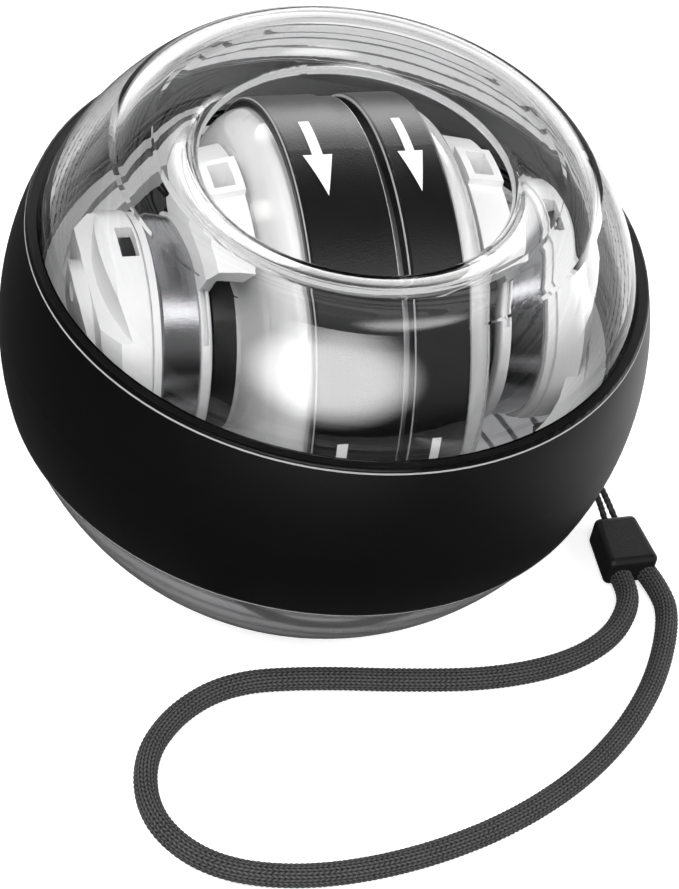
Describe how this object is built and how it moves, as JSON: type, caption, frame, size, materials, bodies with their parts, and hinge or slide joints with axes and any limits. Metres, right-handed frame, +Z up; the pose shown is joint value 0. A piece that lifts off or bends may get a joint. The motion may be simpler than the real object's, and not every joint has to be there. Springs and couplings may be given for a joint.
{
  "type": "gyroscopic wrist ball",
  "caption": "Palm-sized gyroscopic exercise ball: a clear and a smoked shell under a rubber band round a spinning flywheel, with a braided wrist lanyard.",
  "frame": {"origin": "centre of the flat base, on the surface that the ball rests on", "axes": "+Z up along the ball's axis through the thumb opening, +X along the rotor's axle at rest, -X is the starter end"},
  "size_m": [0.08, 0.0939, 0.0573],
  "materials": {
    "steel": "polished",
    "black_rubber": "satin",
    "white_plastic": "matte",
    "satin_steel": "satin",
    "frosted_plastic": "frosted",
    "cast_weight": "cast and turned",
    "rim_black": "fine grain, satin",
    "lamp_board": "white lacquer",
    "lamp": "gloss",
    "black_cord": "braided",
    "smoked_shell": "gloss",
    "black_nylon": "matte",
    "copper_coil": "enamelled wire",
    "magnet": "sintered",
    "clear_cover": "gloss",
    "clear_shell": "gloss"
  },
  "bodies": {
    "housing": {"upper_shell": "clear_shell", "lower_shell": "smoked_shell", "band": "black_rubber", "lanyard_cord": "black_cord", "lanyard_string": "black_cord", "cord_clamp": "black_rubber"},
    "ring": {"carrier_ring": "white_plastic", "ring_magnet": "magnet", "mainspring": "steel", "bearing_balls_left": "steel", "bearing_balls_right": "steel", "bearing_outer_left": "steel", "bearing_outer_right": "steel", "block_screws_left": "steel", "block_screws_right": "steel", "drum_left": "satin_steel", "drum_lid_left": "satin_steel", "drum_lid_right": "satin_steel", "drum_right": "satin_steel", "end_block_left": "frosted_plastic", "end_block_right": "frosted_plastic"},
    "rotor": {"axle": "steel", "bearing_inner_left": "steel", "bearing_inner_right": "steel", "flywheel": "cast_weight", "grip_rim_left": "rim_black", "grip_rim_right": "rim_black", "hub_cup_left": "rim_black", "hub_cup_right": "rim_black", "hub_screws_left": "steel", "hub_screws_right": "steel", "lamp_board_left": "lamp_board", "lamp_board_right": "lamp_board", "lamps_left": "lamp", "lamps_right": "lamp", "pawl_ring": "black_nylon", "pickup_coil": "copper_coil", "side_cover_left": "clear_cover", "side_cover_right": "clear_cover"},
    "starter": {"spring_arbor": "black_nylon", "ratchet_wheel": "black_nylon"}
  },
  "joints": [
    {"name": "ring_turn", "type": "hinge", "parent": "housing", "child": "ring", "pos_m": [0, 0, 0.032], "axis": [0, 0, 1], "continuous": true},
    {"name": "rotor_spin", "type": "hinge", "parent": "ring", "child": "rotor", "pos_m": [0, 0, 0.032], "axis": [1, 0, 0], "continuous": true, "deforming": ["pawl_ring"]},
    {"name": "spring_wind", "type": "hinge", "parent": "ring", "child": "starter", "pos_m": [0, 0, 0.032], "axis": [1, 0, 0], "range_deg": [0, 1080], "deforming": ["mainspring"]}
  ]
}
